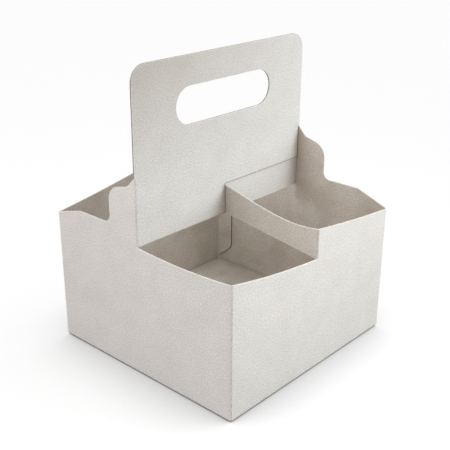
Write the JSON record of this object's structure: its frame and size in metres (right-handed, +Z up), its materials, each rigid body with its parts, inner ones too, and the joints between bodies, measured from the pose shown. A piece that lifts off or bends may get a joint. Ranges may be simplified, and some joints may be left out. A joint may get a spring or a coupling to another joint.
{
  "type": "cardboard cup carrier",
  "caption": "Folded board carrier that holds drinks cups in open cells around a central carrying handle with a hand hole.",
  "frame": {"origin": "on the floor, under the middle of the carrier", "axes": "+Z up, +X along the handle, +Y from the front wall to the back wall"},
  "size_m": [0.19, 0.186, 0.241],
  "materials": {
    "board": "matt pale grey recycled board"
  },
  "bodies": {
    "root": {"cup_carrier": "board"}
  },
  "joints": []
}
